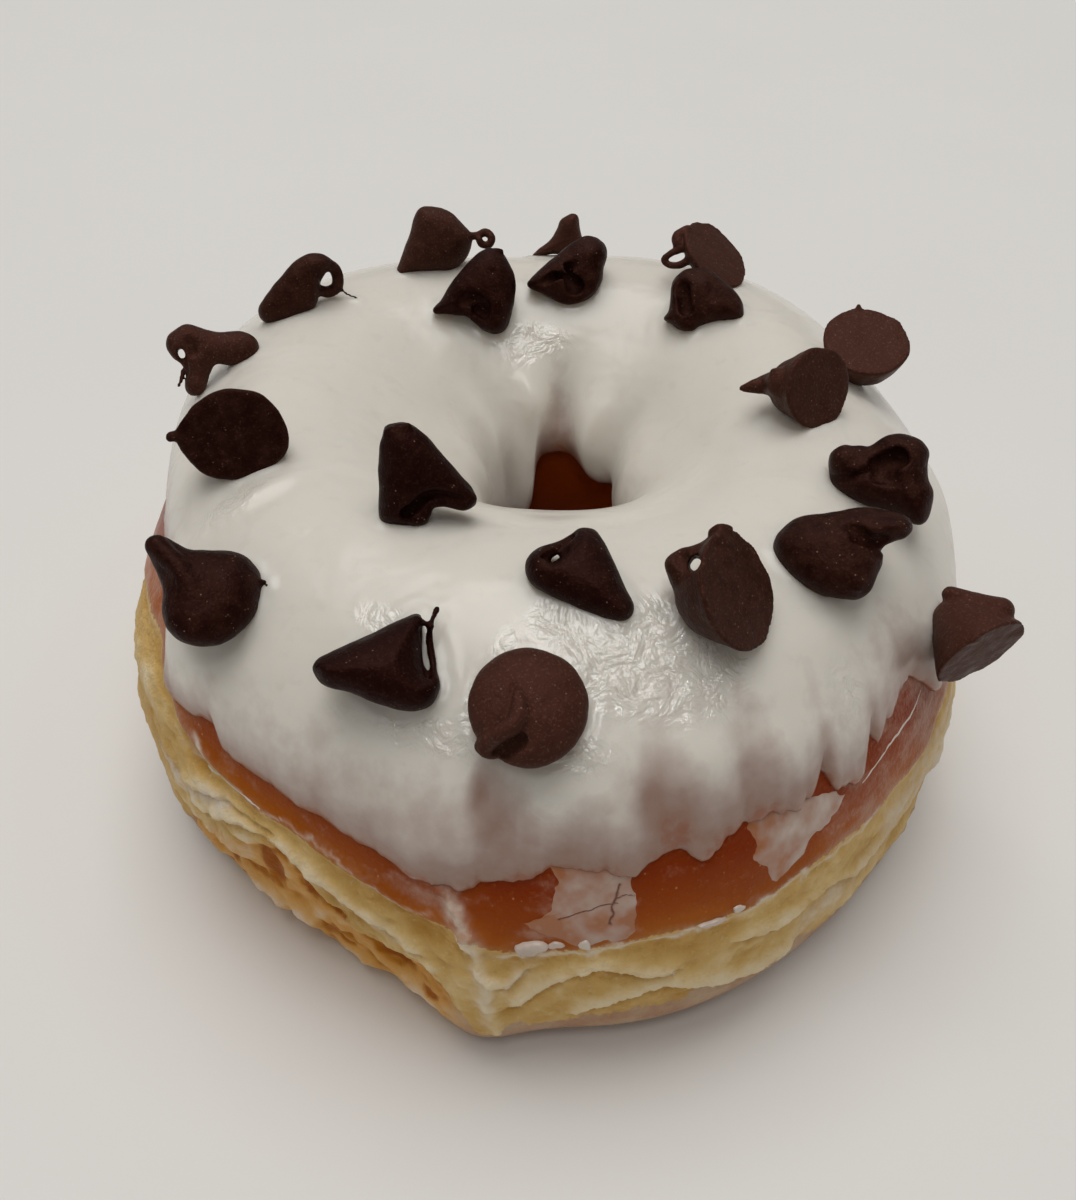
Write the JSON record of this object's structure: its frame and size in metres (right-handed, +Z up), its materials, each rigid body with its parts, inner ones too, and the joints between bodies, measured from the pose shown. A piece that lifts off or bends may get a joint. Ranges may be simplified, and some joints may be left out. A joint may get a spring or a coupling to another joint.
{
  "type": "iced ring doughnut with chocolate chips",
  "caption": "Whole yeast-raised ring doughnut with a browned crust, a pale torn belt, glossy white icing over its top and dark chocolate chips scattered on the icing.",
  "frame": {"origin": "on the surface the doughnut rests on, under the middle of its overall box", "axes": "+Z up through the hole; +X and +Y level, the pinched corner of the belt and the glaze flake under the icing face -Y"},
  "size_m": [0.085, 0.091, 0.0515],
  "materials": {
    "dough": "fried yeast dough: shiny orange-brown crust above a pale creamy yellow wrinkled belt, thin browned foot",
    "icing": "glossy white sugar icing, slightly see-through where it thins out over the crust",
    "chocolate": "satin dark chocolate with tiny pale specks"
  },
  "bodies": {
    "root": {"dough": "dough", "icing": "icing", "chip_01": "chocolate", "chip_02": "chocolate", "chip_03": "chocolate", "chip_04": "chocolate", "chip_05": "chocolate", "chip_06": "chocolate", "chip_07": "chocolate", "chip_08": "chocolate", "chip_09": "chocolate", "chip_10": "chocolate", "chip_11": "chocolate", "chip_12": "chocolate", "chip_13": "chocolate", "chip_14": "chocolate", "chip_15": "chocolate", "chip_16": "chocolate", "chip_17": "chocolate", "chip_18": "chocolate", "chip_19": "chocolate", "chip_20": "chocolate"}
  },
  "joints": []
}
